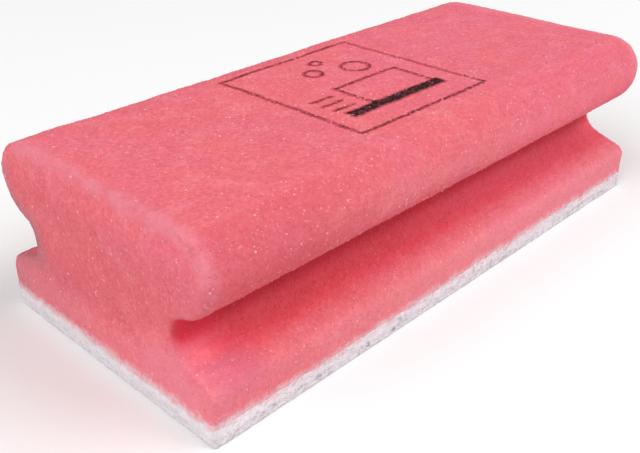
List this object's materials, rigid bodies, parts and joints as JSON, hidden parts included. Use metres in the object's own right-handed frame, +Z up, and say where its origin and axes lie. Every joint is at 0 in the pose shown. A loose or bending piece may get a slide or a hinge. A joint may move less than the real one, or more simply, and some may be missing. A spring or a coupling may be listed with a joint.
{
  "type": "cleaning sponge",
  "caption": "Soft foam block with a finger groove along each long side and a white scouring pad bonded underneath, for wiping and scouring by hand.",
  "frame": {"origin": "middle of the scouring pad's underside, on the surface the sponge rests on", "axes": "+X along the sponge's length, +Y across it, +Z up from the pad to the foam's flat top"},
  "size_m": [0.15, 0.07, 0.0427],
  "materials": {
    "foam": "open-cell polyurethane foam, soft and matt, salmon pink",
    "scouring_fibre": "matt non-woven white fibre, mottled with grey",
    "ink": "thin matt dark ink, broken over the foam's cells"
  },
  "bodies": {
    "root": {"foam_body": "foam", "scouring_pad": "scouring_fibre", "top_print": "ink"}
  },
  "joints": []
}
